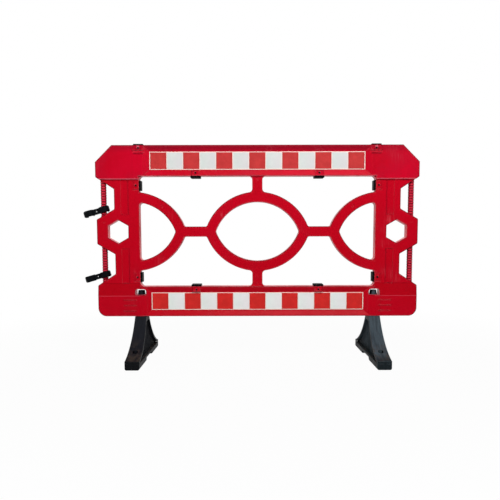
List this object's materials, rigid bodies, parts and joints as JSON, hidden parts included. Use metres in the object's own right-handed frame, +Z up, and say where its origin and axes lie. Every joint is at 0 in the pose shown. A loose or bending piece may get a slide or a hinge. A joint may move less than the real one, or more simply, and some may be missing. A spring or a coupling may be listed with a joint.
{
  "type": "pedestrian barrier panel",
  "caption": "Free-standing red plastic pedestrian barrier with openwork bands, reflective striped rails, turning black feet and end connectors.",
  "frame": {"origin": "on the ground, below the middle of the panel", "axes": "+Z up, +X along the panel to the right as seen from the front, -Y to the front"},
  "size_m": [1.5666, 0.49, 1.0055],
  "materials": {
    "red_plastic": "satin moulded polyethylene",
    "red_rod": "satin moulded, ribbed",
    "black_plastic": "moulded, slightly glossy",
    "black_foot": "moulded recycled plastic, worn",
    "white_film": "retroreflective film",
    "red_film": "retroreflective film"
  },
  "bodies": {
    "panel": {"front_shell": "red_plastic", "rear_shell": "red_plastic", "clip_top_left": "black_plastic", "clip_top_right": "black_plastic", "clip_upper_rail_left": "black_plastic", "clip_upper_rail_right": "black_plastic", "clip_lower_rail_left": "black_plastic", "clip_lower_rail_right": "black_plastic", "clip_stile_lower_left": "black_plastic", "clip_stile_lower_right": "black_plastic", "clip_stile_upper_left": "black_plastic", "clip_stile_upper_right": "black_plastic", "sheet_upper": "white_film", "sheet_lower": "white_film", "red_squares_upper": "red_film", "red_squares_lower": "red_film"},
    "rod_upper_left": {"rod_upper_left": "red_rod"},
    "rod_lower_left": {"rod_lower_left": "red_rod"},
    "rod_upper_right": {"rod_upper_right": "red_rod"},
    "rod_lower_right": {"rod_lower_right": "red_rod"},
    "connector_upper": {"connector_upper": "black_plastic"},
    "connector_lower": {"connector_lower": "black_plastic"},
    "foot_left": {"foot_left": "black_foot"},
    "foot_right": {"foot_right": "black_foot"}
  },
  "joints": [
    {"name": "foot_left_swivel", "type": "hinge", "parent": "panel", "child": "foot_left", "pos_m": [-0.55, 0, 0.204], "axis": [0, 0, 1], "range_deg": [-90, 90]},
    {"name": "foot_right_swivel", "type": "hinge", "parent": "panel", "child": "foot_right", "pos_m": [0.55, 0, 0.204], "axis": [0, 0, 1], "range_deg": [-90, 90]},
    {"name": "rod_upper_left_turn", "type": "hinge", "parent": "panel", "child": "rod_upper_left", "pos_m": [-0.72, 0, 0.752], "axis": [0, 0, 1], "range_deg": [-90, 90]},
    {"name": "rod_lower_left_turn", "type": "hinge", "parent": "panel", "child": "rod_lower_left", "pos_m": [-0.72, 0, 0.452], "axis": [0, 0, 1], "range_deg": [-90, 90]},
    {"name": "rod_upper_right_turn", "type": "hinge", "parent": "panel", "child": "rod_upper_right", "pos_m": [0.72, 0, 0.752], "axis": [0, 0, 1], "continuous": true},
    {"name": "rod_lower_right_turn", "type": "hinge", "parent": "panel", "child": "rod_lower_right", "pos_m": [0.72, 0, 0.452], "axis": [0, 0, 1], "continuous": true},
    {"name": "connector_upper_slide", "type": "slide", "parent": "rod_upper_left", "child": "connector_upper", "axis": [0, 0, 1], "range_m": [0, 0.09]},
    {"name": "connector_lower_slide", "type": "slide", "parent": "rod_lower_left", "child": "connector_lower", "axis": [0, 0, 1], "range_m": [0, 0.09]}
  ]
}
